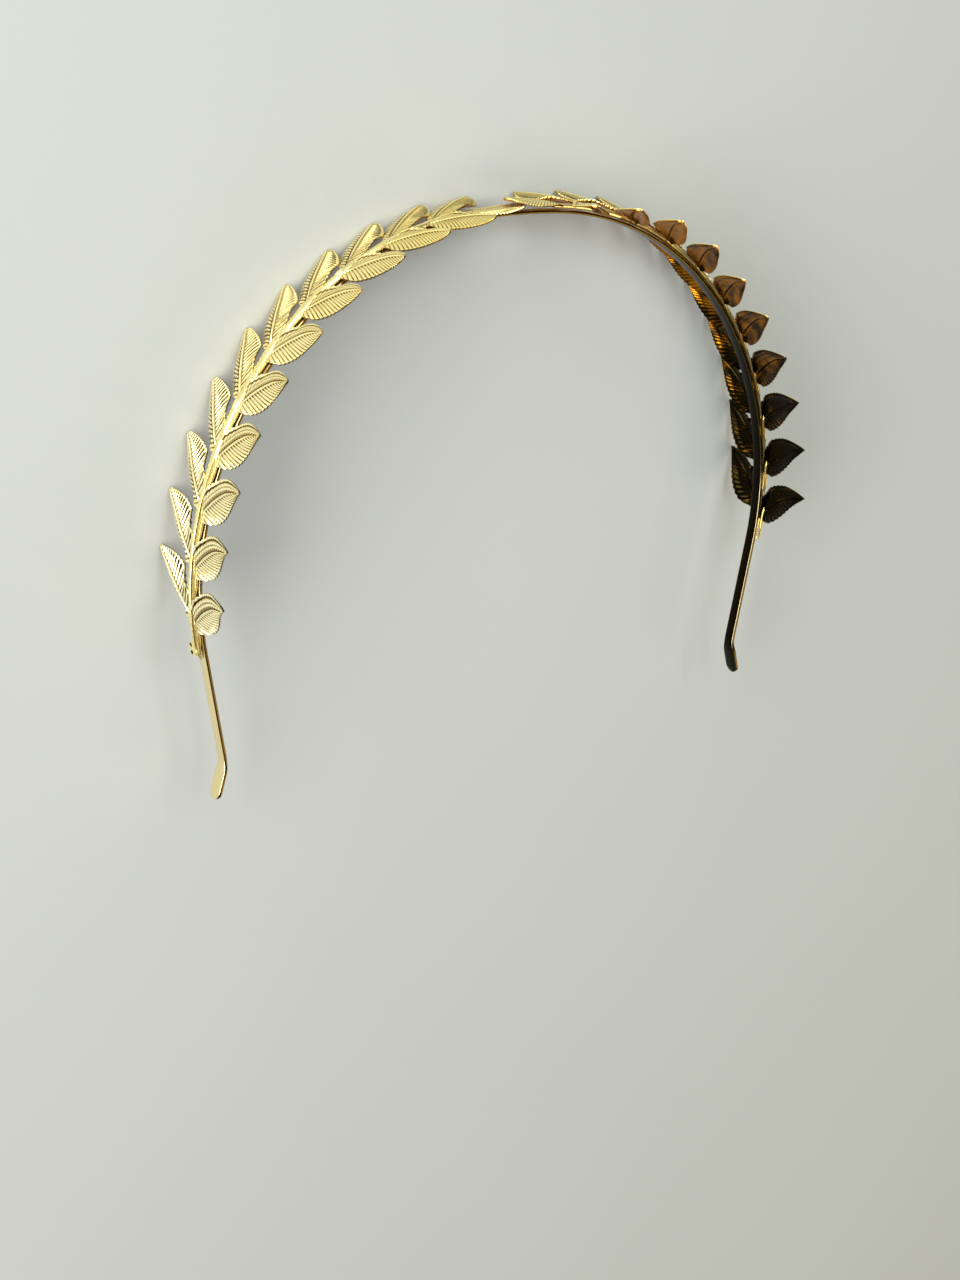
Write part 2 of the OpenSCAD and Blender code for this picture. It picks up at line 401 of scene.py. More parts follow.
class HEADBAND_OT_strip(bpy.types.Operator):
    """Bends the flat strip and its two paddles"""
    bl_idname = "headband.strip"
    bl_label = "Strip"

    def execute(self, context):
        arch = arch_of(context)
        metal = polished_gold(context.scene.headband_finish)
        piece_from(strip_mesh(arch), "headband_strip", arch.pose, metal, ["band"])
        return {"FINISHED"}


# Stem


def stem_size(spray, k):
    """Size of the stem's section at share k of its length, from its upper end to its foot."""
    return (1 - spray.stem_taper * (1 - k)) * (1 - 0.35 * abs(2 * k - 1) ** 8)


def stem_mesh(arch):
    """Half-round stem with a hollow line along its front flank and a few casting marks."""
    spray = arch.spray
    steps = 260
    around = 18
    groove_at = math.radians(42)
    groove_depth = 0.2 * MM
    dent_depth = 0.06 * MM
    dice = random.Random(spray.seed)
    dents = [(dice.uniform(0.05, 0.95), dice.uniform(-0.6, 0.6)) for _ in range(9)]
    rings = []
    relief = []
    for i in range(steps + 1):
        k = i / steps
        s = spray.stem_tip + (spray.stem_foot - spray.stem_tip) * k
        end = smooth_step(0.97, 1.0, k)
        size = stem_size(spray, k) * math.sqrt(1 - 0.9 * end * end)
        wide = spray.stem_w / 2 * size
        high = spray.stem_h * size
        # Fuller where leaves join it and above its middle, and slimmest at its foot
        joined = max(bell(s - arch.pair_at(n), 3 * MM) for n in range(spray.pairs))
        swell = 0.8 + 0.55 * smooth_step(0.95, 0.5, k) - 0.3 * smooth_step(0.35, 0.0, k) + 0.1 * joined
        ring = []
        for j in range(around):
            turn = math.pi * j / (around - 1)
            across = wide * swell * math.cos(turn)
            up = spray.stem_gap + high * (0.35 + 0.65 * math.sin(turn) ** 0.8)
            groove = bell(turn - groove_at, 0.13) * smooth_step(0.55, 0.75, k) * (1 - end)
            dent = sum(bell(k - dk, 0.003) * bell(math.cos(turn) - dc, 0.2) for dk, dc in dents)
            sunk = groove_depth * groove + dent_depth * dent
            ring.append(arch.place(s, across - sunk * math.cos(turn), up - sunk * math.sin(turn)))
            # Painted shade: the groove and the dents get a low relief, so they come out darker gold.
            relief.append(0.15 - 0.8 * groove - 0.6 * dent)
        for corner in (-0.8, 0.8):
            ring.append(arch.place(s, corner * wide, spray.stem_gap))
            # Painted shade: the stem's underside against the strip gets a low relief.
            relief.append(-0.6)
        rings.append(ring)
    return mesh_from("stem", *swept(rings), relief=relief, tone=0.4)


class HEADBAND_OT_stems(bpy.types.Operator):
    """Sweeps the two half-round stems along the strip"""
    bl_idname = "headband.stems"
    bl_label = "Stems"

    def execute(self, context):
        arch = arch_of(context)
        metal = satin_gold(context.scene.headband_finish)
        for side in SIDES:
            spray_piece(stem_mesh(arch), "stem", side, arch, metal)
        return {"FINISHED"}


# Leaves


LEAF_LINES = (0.0, 0.06, 0.12, 0.17, 0.26, 0.38, 0.5, 0.62, 0.74, 0.82, 0.88, 0.94, 1.0)
ROWS_PER_RIB = 6
RIB_LEAN = 0.2
RIBS_FROM = (0.1, 0.18)
RIM_FROM = (0.88, 0.96)
MIDRIB_WIDTH = 0.05
BESIDE_MIDRIB = 0.12
TOOTH = 0.03
CUP_RUN = 2.5 * MM
SPRING_AT = 0.75
SPRING_SPREAD = 0.15


class LeafForm:
    """Form of one leaf in the FRONT or BACK row, at a turn to the stem; high is 1 at the crown."""

    def __init__(self, row, turn, size, width, bow, rise, fall, lift, high):
        self.row = row
        self.turn = turn
        self.size = size
        self.width = width
        self.bow = bow
        self.rise = rise
        self.fall = fall
        self.lift = lift
        self.high = high
        self.kept = 1.0 if row == FRONT else self.share_kept()

    def share_kept(self):
        """Share of its reach that a back leaf keeps, so that its lower edge stays above the floor."""
        stops = 40
        margin = 0.995
        reach = self.size * math.sin(self.turn)
        aside = math.cos(self.turn)
        edge = [reach * u + (self.half_width(u, -1) - self.bend(u)) * aside
                for u in (k / stops for k in range(stops + 1))]
        return margin * reach / max(edge)

    def half_width(self, u, v):
        """Half width at share u of the length, fuller on the crown's side than on the lower one."""
        base = 0.58 if v > 0 else 0.8
        tip = 0.76 - 0.24 * self.high if v > 0 else 1.35 - 0.75 * self.high
        if self.row == BACK:
            base += 0.15 * self.high
            tip += -0.1 * self.high if v > 0 else 0.6 * self.high - 0.2
        # The curve u ** base * (1 - u) ** tip is widest at peak, and is scaled to 1 there
        peak = base / (base + tip)
        full = peak ** base * (1 - peak) ** tip
        return self.width / 2 * max(u, 0.0) ** base * max(1 - u, 0.0) ** tip / full

    def bend(self, u):
        """Sideways place of the midrib: bowed to the crown, with a tip that hooks away from it."""
        straighter = 0.3 if self.row == FRONT else 1.1
        hook = (0.8 - straighter * self.high) * MM * smooth_step(0.7, 1.0, u)
        return self.bow * 4 * u * (1 - u) - hook


def leaf_surface(arch, form, u, v):
    """Point of the smooth leaf: u runs from base to tip, v from the lower edge to the crown's."""
    half = form.half_width(u, v)
    width = 2 * half / form.width
    along = form.size * u
    across = form.bend(u) + v * half
    out = form.kept * (along * math.sin(form.turn) - across * math.cos(form.turn))
    cup = min(1.0, max(0.0, (abs(out) - arch.strip.width / 2) / CUP_RUN))
    curl = 1.0 + (0.55 * (1 - form.high) if v < 0 else 0.1)
    if form.row == BACK and v > 0:
        curl = 1.35 - 0.25 * form.high
    fall = form.fall * curl * cup * width * min(1.0, 4 * u) * (0.3 * abs(v) + 0.7 * v * v)
    height = arch.leaf_root + form.rise * math.sin(math.pi * u) + form.lift * u - fall
    return Vector((along * math.cos(form.turn) + across * math.sin(form.turn), form.row * out, height))


def leaf_relief(t, v, form, ribs):
    """Pressed pattern of a leaf, from about -1 in a groove to 1 on a crest, calmer towards the crown."""
    a = abs(v)
    high = form.high
    wave = 2 * abs(math.cos(math.pi * ribs * t)) ** (0.9 if form.row == FRONT else 1.4) - 1
    midrib = 1.2 * bell(a, MIDRIB_WIDTH)
    beside = bell(a - BESIDE_MIDRIB, MIDRIB_WIDTH)
    rim = smooth_step(*RIM_FROM, a)
    ribbed = smooth_step(*RIBS_FROM, a) * (1 - smooth_step(0.88, 0.93, a))
    strength = 1.0 - 0.4 * high
    if form.row == BACK and v < 0:
        return midrib + 0.5 * rim + strength * (1.1 * ribbed + 0.4 * rim) * wave - 0.9 * bell(a - 0.14, 0.07)
    if v < 0:
        pits = -1.8 * beside * (0.5 - 0.5 * wave)
        outer = 1 - 0.75 * high * smooth_step(0.9, 0.3, a)
        ends = 0.8 * strength * smooth_step(0.55, 0.9, a) * wave
        return midrib + 0.5 * rim + pits + ends + strength * (0.7 * ribbed + 0.3 * rim) * outer * wave
    if form.row == BACK:
        dots = -bell(a - 0.8, 0.08) * (1 - wave) * (1 - 0.7 * high)
        fine = strength * (ribbed + 0.3 * rim) * wave - 0.15 * ribbed
        return midrib + 0.5 * rim + dots + fine - 0.5 * beside
    groove = -1.3 * bell(a - 0.84, 0.045) * (1 - 0.5 * high)
    bands = 0.6 * math.cos(2 * math.pi * (a - 0.1) / 0.27) * ribbed * (1 - 0.75 * high)
    fine = strength * (0.25 + 0.45 * high) * wave * ribbed
    hollow = -1.2 * beside * (1 - 0.6 * high)
    return midrib + 0.8 * rim + 0.25 * rim * wave + groove + bands + fine + hollow


def leaf_faces(rows, count):
    """Faces of a closed leaf: a grid with a base and a tip point, the same below, and a wall between."""
    sheet = rows * count + 2
    base = sheet - 2
    tip = sheet - 1
    top = []
    for i in range(rows - 1):
        for j in range(count - 1):
            a = i * count + j
            top.append((a, a + count, a + count + 1, a + 1))
    for j in range(count - 1):
        top.append((base, j, j + 1))
        a = (rows - 1) * count + j
        top.append((a, tip, a + 1))
    ring = [base] + [i * count for i in range(rows)] + [tip]
    ring += [i * count + count - 1 for i in reversed(range(rows))]
    faces = top + [tuple(sheet + k for k in reversed(face)) for face in top]
    for a, b in zip(ring, ring[1:] + ring[:1]):
        faces.append((a, sheet + a, sheet + b, b))
    return faces


def leaf_blank(arch, form, dice):
    """One pressed leaf, its base at the origin, x to the crown, y to the front, z off the strip."""
    spray = arch.spray
    ribs = spray.ribs + round(spray.more_ribs * form.high)
    # The tone also sets the painted back colour: near black on the low leaves, amber towards the crown.
    tone = 0.9 - 0.7 * form.high + dice.uniform(-0.08, 0.08)
    rows = ROWS_PER_RIB * ribs
    lines = [-x for x in reversed(LEAF_LINES[1:])] + list(LEAF_LINES)
    points = []
    relief = []
    shade = []
    # The lower sheet is flatter pressed, and comes closer to the upper one at the rim
    for under in (0, 1):
        for i in range(1, rows):
            t = i / rows
            fade = min(1.0, 8 * t, 10 * (1 - t))
            for v in lines:
                u = t + RIB_LEAN * abs(v) * math.sin(math.pi * t)
                pressed = leaf_relief(t, v, form, ribs) * fade
                edge = 1 + TOOTH * math.cos(2 * math.pi * ribs * t) * smooth_step(0.9, 1, abs(v))
                p = leaf_surface(arch, form, u, v * edge)
                p.z += spray.rib_height * pressed * (1 - 0.4 * under)
                p.z -= spray.leaf_t * under * (1 - 0.35 * smooth_step(0.8, 1.0, abs(v)))
                points.append(p)
                # The stored relief drives a painted highlight on crests and painted shade in grooves; on the
                # lower sheet it is turned over and halved.
                relief.append(pressed * (1 - 1.5 * under))
        for u in (0.0, 1.0):
            p = leaf_surface(arch, form, u, 0.0)
            p.z -= spray.leaf_t * under
            points.append(p)
            relief.append(0.0)
        shade += [float(under)] * (len(points) - len(shade))
    faces = leaf_faces(rows - 1, len(lines))
    return mesh_from("leaf", points, faces, sharp=50, relief=relief, shade=shade, tone=tone)


def leaf_row(arch, row, spring, dice):
    """Blanks of a row's leaves from the lowest up, whose tips spring up most a little below the crown."""
    p = arch.spray
    blanks = []
    for i in range(p.pairs):
        high = i / (p.pairs - 1)
        lift = spring * bell(high - SPRING_AT, SPRING_SPREAD)
        if row == FRONT:
            form = LeafForm(row, arch.front_open(i), p.front_len, p.leaf_w, p.front_bow, p.front_rise,
                            p.front_fall, p.front_lift + lift, high)
        else:
            form = LeafForm(row, arch.back_open(i), p.back_len, p.leaf_w, 0.0, p.back_rise,
                            p.back_fall, lift, high)
        blanks.append(leaf_blank(arch, form, dice))
    return blanks


def crown_blank(arch, lift, dice):
    """Blank of the narrow leaf that ends a stem."""
    p = arch.spray
    form = LeafForm(FRONT, 0.0, p.crown_len, p.crown_w, 0.0, p.front_rise, p.front_fall,
                    lift - p.crown_fall, 1.0)
    return leaf_blank(arch, form, dice)


# Node trees


class NodeMaker:
    """Adds nodes to a tree; an input given as a socket is linked, and any other is set."""

    def __init__(self, tree):
        self.tree = tree

    def add(self, kind, inputs=None, **settings):
        """Node of a kind with its settings and inputs."""
        node = self.tree.nodes.new(kind)
        for key, value in settings.items():
            setattr(node, key, value)
        for key, value in (inputs or {}).items():
            if isinstance(value, bpy.types.NodeSocket):
                self.tree.links.new(value, node.inputs[key])
            else:
                node.inputs[key].default_value = value
        return node

    def calc(self, operation, *values, **settings):
        """Result of a sum on up to three values."""
        inputs = dict(enumerate(values))
        return self.add("ShaderNodeMath", inputs, operation=operation, **settings).outputs[0]

    def ramp(self, value, low, high, kind="SMOOTHSTEP"):
        """Rise from 0 at low to 1 at high."""
        inputs = {"Value": value, "From Min": low, "From Max": high}
        return self.add("ShaderNodeMapRange", inputs, interpolation_type=kind).outputs[0]

    def mix(self, factor, a, b):
        """Colour from a to b."""
        inputs = {"Factor": factor, "A": a, "B": b}
        return self.add("ShaderNodeMix", inputs, data_type="RGBA").outputs["Result"]

    def noise(self, vector, scale, detail):
        """Cloudy value."""
        inputs = {"Vector": vector, "Scale": scale, "Detail": detail}
        return self.add("ShaderNodeTexNoise", inputs).outputs["Fac"]

    def point_value(self, key):
        """Value that the mesh's points carry under a name."""
        return self.add("ShaderNodeAttribute", attribute_name=key).outputs["Fac"]


def node_group(name, kind, inputs, outputs, fill):
    """The named node group, made on first use; fill turns its inputs into its outputs by name."""
    tree = bpy.data.node_groups.get(name)
    if tree:
        return tree
    tree = bpy.data.node_groups.new(name, kind)
    for way, sockets in (("INPUT", inputs), ("OUTPUT", outputs)):
        for label, form in sockets.items():
            tree.interface.new_socket(label, in_out=way, socket_type="NodeSocket" + form)
    make = NodeMaker(tree)
    made = fill(make, make.add("NodeGroupInput").outputs)
    make.add("NodeGroupOutput", made)
    return tree


# Rows along the stems


def fill_row(make, given):
    """Blanks picked in order and set along the path with their x to the crown, then what was there."""
    path = make.add("GeometryNodeObjectInfo", {"Object": given["Path"]})
    spots = make.add("GeometryNodePoints", {"Count": given["Count"]})
    index = make.add("GeometryNodeInputIndex").outputs[0]
    back = make.calc("MULTIPLY", index, given["Pitch"])
    distance = make.calc("SUBTRACT", given["First"], back)
    sample = make.add("GeometryNodeSampleCurve", {
        "Curves": path.outputs["Geometry"],
        "Length": distance,
    }, mode="LENGTH")
    move = make.add("GeometryNodeSetPosition", {
        "Geometry": spots.outputs[0],
        "Position": sample.outputs["Position"],
    })
    to_crown = make.add("ShaderNodeVectorMath", {
        0: sample.outputs["Tangent"],
        "Scale": -1,
    }, operation="SCALE")
    turn = make.add("FunctionNodeAxesToRotation", {
        "Primary Axis": to_crown.outputs[0],
        "Secondary Axis": (0, 0, 1),
    }, primary_axis="X", secondary_axis="Y")
    blanks = make.add("GeometryNodeCollectionInfo", {
        "Collection": given["Blanks"],
        "Separate Children": True,
        "Reset Children": True,
    })
    put = make.add("GeometryNodeInstanceOnPoints", {
        "Points": move.outputs[0],
        "Instance": blanks.outputs[0],
        "Pick Instance": True,
        "Instance Index": index,
        "Rotation": turn.outputs[0],
    })
    both = make.add("GeometryNodeJoinGeometry", {0: put.outputs[0]})
    make.tree.links.new(given["Geometry"], both.inputs[0])
    real = make.add("GeometryNodeRealizeInstances", {0: both.outputs[0]})
    paint = make.add("GeometryNodeSetMaterial", {"Geometry": real.outputs[0], "Material": given["Metal"]})
    return {"Geometry": paint.outputs[0]}


def row_tree():
    """Node tree that sets blanks in a row along a path, in order, and adds them to what is there."""
    return node_group("Row Along Stem", "GeometryNodeTree", {
        "Geometry": "Geometry", "Path": "Object", "Blanks": "Collection", "Count": "Int",
        "First": "Float", "Pitch": "Float", "Metal": "Material",
    }, {"Geometry": "Geometry"}, fill_row)


def drawer(name, meshes):
    """Collection that holds blanks in order, for a row to pick from."""
    box = bpy.data.collections.new(name)
    for i, mesh in enumerate(meshes):
        box.objects.link(bpy.data.objects.new(f"{name}_{i:02d}", mesh))
    return box


def add_row(host, name, **inputs):
    """Adds one row to the host, with its inputs set by their sockets' identifiers."""
    row = host.modifiers.new(name, "NODES")
    row.node_group = row_tree()
    for item in row.node_group.interface.items_tree:
        if item.item_type == "SOCKET" and item.in_out == "INPUT" and item.name in inputs:
            row[item.identifier] = inputs[item.name]


def add_pairs(host, name, arch, row, blanks, path, metal):
    """Adds the blanks of the FRONT or BACK row to the host, one for each pair."""
    p = arch.spray
    add_row(host, name, Path=path, Blanks=drawer(name, blanks), Count=p.pairs,
            First=p.first_pair + row * p.stagger / 2, Pitch=p.pitch, Metal=metal)


def plain_mesh(host):
    """The host's evaluated rows as a plain mesh; the host and its modifiers are removed."""
    bpy.context.view_layer.update()
    seen = bpy.context.evaluated_depsgraph_get()
    mesh = bpy.data.meshes.new_from_object(host.evaluated_get(seen), preserve_all_data_layers=True,
                                           depsgraph=seen)
    host.modifiers.clear()
    bpy.data.objects.remove(host)
    return mesh


def path_object(arch):
    """Curve along the strip's outer face, from the crown down the left side."""
    step = 0.5 * MM
    count = int(arch.band_end / step) + 1
    curve = bpy.data.curves.new("strip_path", "CURVE")
    curve.dimensions = "3D"
    line = curve.splines.new("POLY")
    line.points.add(count - 1)
    for i in range(count):
        x, y, _ = arch.at(i * step)
        line.points[i].co = (x, y, 0, 1)
    path = bpy.data.objects.new("strip_path", curve)
    bpy.context.scene.collection.objects.link(path)
    return path


def host_object(name):
    """Empty mesh object that carries rows until they are made plain."""
    host = bpy.data.objects.new(name, bpy.data.meshes.new(name))
    bpy.context.scene.collection.objects.link(host)
    return host


class HEADBAND_OT_leaves(bpy.types.Operator):
    """Presses the leaves and sets them in rows along both stems"""
    bl_idname = "headband.leaves"
    bl_label = "Leaves"

    def execute(self, context):
        arch = arch_of(context)
        p = arch.spray
        metal = satin_gold(context.scene.headband_finish)
        dice = random.Random(p.seed)
        path = path_object(arch)
        for side in SIDES:
            lift, spring = (p.crown_lift, p.tip_spring) if side == "left" else (0.0, 0.0)
            fronts = leaf_row(arch, FRONT, spring, dice)
            backs = leaf_row(arch, BACK, spring, dice)
            crown = crown_blank(arch, lift, dice)
            front = host_object("front_row")
            add_pairs(front, "front_leaves", arch, FRONT, fronts, path, metal)
            add_row(front, "crown_leaf", Path=path, Blanks=drawer("crown_leaf", [crown]), Count=1,
                    First=p.crown_at, Pitch=p.pitch, Metal=metal)
            back = host_object("back_row")
            add_pairs(back, "back_leaves", arch, BACK, backs, path, metal)
            spray_piece(plain_mesh(front), "front_leaves", side, arch, metal)
            spray_piece(plain_mesh(back), "back_leaves", side, arch, metal)
        bpy.data.objects.remove(path)
        return {"FINISHED"}


# Stalks, solder and end eyes


def stalk_blank(arch, row, high):
    """Stalk that runs from a leaf's base down beside the stem, closer to it towards the crown."""
    p = arch.spray
    gap = (0.45 - 1.1 * high if row == FRONT else -0.8) * MM
    start = (1.8 - 0.9 * high if row == FRONT else 1.1) * MM
    beside = p.stem_w / 2 + 0.2 * MM + gap
    mid = p.stem_gap + 0.35 * p.stem_h
    top = 2.6 * MM
    run = 9.2 * MM
    drift = 0.3 * MM
    thick = 0.42 * MM
    steps = 26
    around = circle(12)
    rings = []
    for i in range(steps + 1):
        k = i / steps
        x = top - run * k
        y = row * (start + (beside - start) * smooth_step(0.0, 0.4, k) - drift * smooth_step(0.6, 1.0, k))
        radius = thick * (1 - 0.8 * smooth_step(0.5, 1.0, k)) * (0.35 + 0.65 * smooth_step(0, 0.12, k))
        rings.append([Vector((x, y + radius * c, mid + radius * s)) for c, s in around])
    return mesh_from("stalk", *swept(rings), relief=-0.1, tone=0.2)


def bead_blank(arch):
    """Low bead of solder over a leaf's base."""
    p = arch.spray
    radii = (1.5 * MM, 0.9 * MM, 0.5 * MM)
    middle = p.stem_gap + 0.7 * p.stem_h
    work = bmesh.new()
    bmesh.ops.create_icosphere(work, subdivisions=3, radius=1.0)
    for vertex in work.verts:
        x, y, z = (r * c for r, c in zip(radii, vertex.co))
        vertex.co = (x, y, z + middle)
    mesh = bpy.data.meshes.new("bead")
    work.to_mesh(mesh)
    work.free()
    give_values(mesh, {"relief": 0.3, "tone": 0.7})
    mesh.polygons.foreach_set("use_smooth", [True] * len(mesh.polygons))
    return mesh


class HEADBAND_OT_stalks(bpy.types.Operator):
    """Sets a stalk at the base of each leaf and beads of solder along the stems"""
    bl_idname = "headband.stalks"
    bl_label = "Stalks and solder"

    def execute(self, context):
        arch = arch_of(context)
        p = arch.spray
        metal = satin_gold(context.scene.headband_finish)
        path = path_object(arch)
        bead_pair = 4
        bead_every = 3
        for side in SIDES:
            host = host_object("stalk_rows")
            for row, name in ((FRONT, "front_stalks"), (BACK, "back_stalks")):
                blanks = [stalk_blank(arch, row, i / (p.pairs - 1)) for i in range(p.pairs)]
                add_pairs(host, name, arch, row, blanks, path, metal)
            add_row(host, "solder", Path=path, Blanks=drawer("solder", [bead_blank(arch)]),
                    Count=p.pairs // 4, First=arch.pair_at(bead_pair), Pitch=bead_every * p.pitch,
                    Metal=metal)
            spray_piece(plain_mesh(host), "stalks", side, arch, metal)
        bpy.data.objects.remove(path)
        return {"FINISHED"}


def eye_mesh(arch):
    """Flat eye behind the stem's foot, pierced twice, with rounded edges."""
    p = arch.spray
    low = p.stem_gap + 0.3 * p.stem_h
    high = low + 0.45 * p.stem_h
    centre = -p.stem_w / 2
    hole_x = 0.25 * p.eye_len
    hole_y = centre - 0.35 * p.eye_out
    hole_r = p.eye_hole / 2
    rounding = 0.12 * MM
    hole_shade_reach = 0.62 * p.eye_hole
    loops = [[(p.eye_len / 2 * c, centre + p.eye_out * s) for c, s in circle(48)]]
    for sign in (-1, 1):
        loops.append([(sign * hole_x + hole_r * c, hole_y + hole_r * s) for c, s in circle(20)])
    work = bmesh.new()
    edges = []
    for loop in loops:
        corners = [work.verts.new((x, y, low)) for x, y in loop]
        edges += [work.edges.new(ends) for ends in zip(corners, corners[1:] + corners[:1])]
    bmesh.ops.triangle_fill(work, edges=edges, use_beauty=True)
    grown = bmesh.ops.extrude_face_region(work, geom=work.faces[:])
    for item in grown["geom"]:
        if isinstance(item, bmesh.types.BMVert):
            item.co.z = high
    rims = [e for e in work.edges if len(e.link_faces) == 2 and e.calc_face_angle(0) > 1]
    bmesh.ops.bevel(work, geom=rims, offset=rounding, segments=2, affect="EDGES")
    mesh = bpy.data.meshes.new("eye")
    work.to_mesh(mesh)
    work.free()
    # Painted shade: the metal round each hole gets a very low relief, so it comes out near black.
    hole_shade = []
    for vertex in mesh.vertices:
        from_hole = math.hypot(abs(vertex.co.x) - hole_x, vertex.co.y - hole_y)
        hole_shade.append(-1.2 if from_hole < hole_shade_reach else 0.2)
    x, y, turn = arch.at(p.eye_at)
    mesh.transform(Matrix((
        (-math.cos(turn), 0, math.sin(turn), x),
        (math.sin(turn), 0, math.cos(turn), y),
        (0, 1, 0, 0),
        (0, 0, 0, 1),
    )))
    outward(mesh)
    give_values(mesh, {"relief": hole_shade, "tone": 0.4})
    return mesh


class HEADBAND_OT_eyes(bpy.types.Operator):
    """Makes the pierced eye at the foot of each stem"""
    bl_idname = "headband.eyes"
    bl_label = "End eyes"

    def execute(self, context):
        arch = arch_of(context)
        metal = satin_gold(context.scene.headband_finish)
        for side in SIDES:
            spray_piece(eye_mesh(arch), "eye", side, arch, metal)
        return {"FINISHED"}


# Materials


CLOUD_SCALE = 170
PATCH_SCALE = 260
# Painted shade on the backs: how relief and cloudy patches move the back colour between amber and near
# black.
BACK_SHADE_RELIEF = -0.25
BACK_SHADE_PATCHES = 0.9
BACK_GLOSS = -0.08
GRAIN_BUMP = 0.2
GRAIN_DEPTH = 0.04 * MM
SPECULAR = 0.2
FLOOR_ROUGHNESS = 0.8
FLOOR_CLOUDS = 0.96


def opaque(rgb):
    """Colour of a node's socket from a colour property."""
    return (*rgb, 1)


def fill_tone(make, given):
    """Colour from the relief, the tone and clouds, with painted shade where the relief is deep."""
    level = 0.45
    relief_share = 0.65
    tone_share = 0.12
    clouds = make.noise(given["Vector"], CLOUD_SCALE, 4)
    pressed = make.calc("MULTIPLY_ADD", given["Relief"], relief_share, level)
    cloudy = make.calc("MULTIPLY_ADD", clouds, given["Uneven"], pressed)
    toned = make.calc("MULTIPLY_ADD", given["Tone"], tone_share, cloudy)
    # Painted highlight and shade: a high relief gives pale gold on crests, a low one deep gold in grooves.
    gold = make.mix(make.ramp(toned, 0.34, 0.85), given["Deep"], given["Pale"])
    # Painted shadow: the deepest grooves turn near black.
    hollow = make.ramp(given["Relief"], -0.15, -0.9)
    return {"Color": make.mix(hollow, gold, given["Groove Shadow"])}


def tone_group():
    """Gold with a painted highlight on crests and painted shade in hollows, uneven from place to place."""
    return node_group("Gold Tone", "ShaderNodeTree", {
        "Pale": "Color", "Deep": "Color", "Groove Shadow": "Color", "Vector": "Vector",
        "Relief": "Float", "Tone": "Float", "Uneven": "Float",
    }, {"Color": "Color"}, fill_tone)


def fill_grain(make, given):
    """Height of the grain and of the scratches, and a gloss that varies with the grain."""
    grain = make.noise(given["Vector"], given["Scale"], 5)
    scratch_spread = 0.35
    scratch_width = 0.03
    lines = make.add("ShaderNodeTexVoronoi", {
        "Vector": given["Vector"],
        "Scale": make.calc("MULTIPLY", given["Scale"], scratch_spread),
    }, feature="DISTANCE_TO_EDGE")
    hair = make.ramp(lines.outputs["Distance"], 0.0, scratch_width, "LINEAR")
    scratched = make.calc("MULTIPLY", hair, given["Scratches"])
    gloss = make.add("ShaderNodeMapRange", {
        "Value": grain,
        "From Min": 0.3,
        "From Max": 0.7,
        "To Min": given["Low"],
        "To Max": given["High"],
    })
    return {"Height": make.calc("ADD", grain, scratched), "Roughness": gloss.outputs[0]}


def grain_group():
    """Fine grain and hairline scratches, as a height and an uneven gloss."""
    return node_group("Metal Grain", "ShaderNodeTree", {
        "Vector": "Vector", "Scale": "Float", "Scratches": "Float", "Low": "Float", "High": "Float",
    }, {"Height": "Float", "Roughness": "Float"}, fill_grain)


def new_material(name):
    """Empty material, and the maker of its nodes."""
    fresh = bpy.data.materials.new(name)
    fresh.use_nodes = True
    fresh.node_tree.nodes.clear()
    return fresh, NodeMaker(fresh.node_tree)


def metal_material(name, finish, pale, metallic, uneven, scale, scratches, smooth, rough):
    """Gold made of the tone and grain groups, with painted reflection and shade, amber to near black in
    cloudy patches, where the mesh is marked as shade.
    """
    old = bpy.data.materials.get(name)
    if old:
        return old
    metal, make = new_material(name)
    where = make.add("ShaderNodeTexCoord").outputs["Object"]
    relief = make.point_value("relief")
    tone = make.point_value("tone")
    shade = make.point_value("shade")
    gold = make.add("ShaderNodeGroup", node_tree=tone_group(), inputs={
        "Pale": make.mix(tone, opaque(finish.warm_gold), opaque(pale)),
        "Deep": opaque(finish.groove_shade_gold),
        "Groove Shadow": opaque(finish.groove_shadow),
        "Vector": where,
        "Relief": relief,
        "Tone": tone,
        "Uneven": uneven,
    })
    # Painted reflection and shade on leaf backs and the strip's inner face: amber where the tone is low,
    # near black where it is high or the relief is low, broken by cloudy patches.
    depth = make.calc("MULTIPLY_ADD", relief, BACK_SHADE_RELIEF, tone, use_clamp=True)
    patchy_back_shade = make.calc("MULTIPLY_ADD", make.noise(where, PATCH_SCALE, 2), BACK_SHADE_PATCHES, depth)
    back_shade_share = make.ramp(patchy_back_shade, 0.74, 1.14)
    back = make.mix(back_shade_share, opaque(finish.amber_back_reflection), opaque(finish.black_back_reflection))
    grain = make.add("ShaderNodeGroup", node_tree=grain_group(), inputs={
        "Vector": where,
        "Scale": scale,
        "Scratches": scratches,
        "Low": smooth,
        "High": rough,
    })
    bump = make.add("ShaderNodeBump", {
        "Strength": GRAIN_BUMP,
        "Distance": GRAIN_DEPTH,
        "Height": grain.outputs["Height"],
    })
    shader = make.add("ShaderNodeBsdfPrincipled", {
        "Base Color": make.mix(shade, gold.outputs["Color"], back),
        "Metallic": make.calc("MULTIPLY_ADD", shade, 1 - metallic, metallic),
        "Roughness": make.calc("MULTIPLY_ADD", shade, BACK_GLOSS, grain.outputs["Roughness"]),
        "Specular IOR Level": SPECULAR,
        "Normal": bump.outputs["Normal"],
    })
    make.add("ShaderNodeOutputMaterial", {"Surface": shader.outputs[0]})
    return metal


def satin_gold(finish):
    """Satin gold of the leaves, stems and eyes."""
    return metal_material("satin_gold", finish, finish.pale_gold, metallic=0.82, uneven=0.25, scale=1500,
                          scratches=0.1, smooth=0.16, rough=0.3)


def polished_gold(finish):
    """Polished gold of the strip."""
    return metal_material("polished_gold", finish, finish.strip_gold, metallic=0.95, uneven=0.5, scale=900,
                          scratches=0.4, smooth=0.1, rough=0.22)


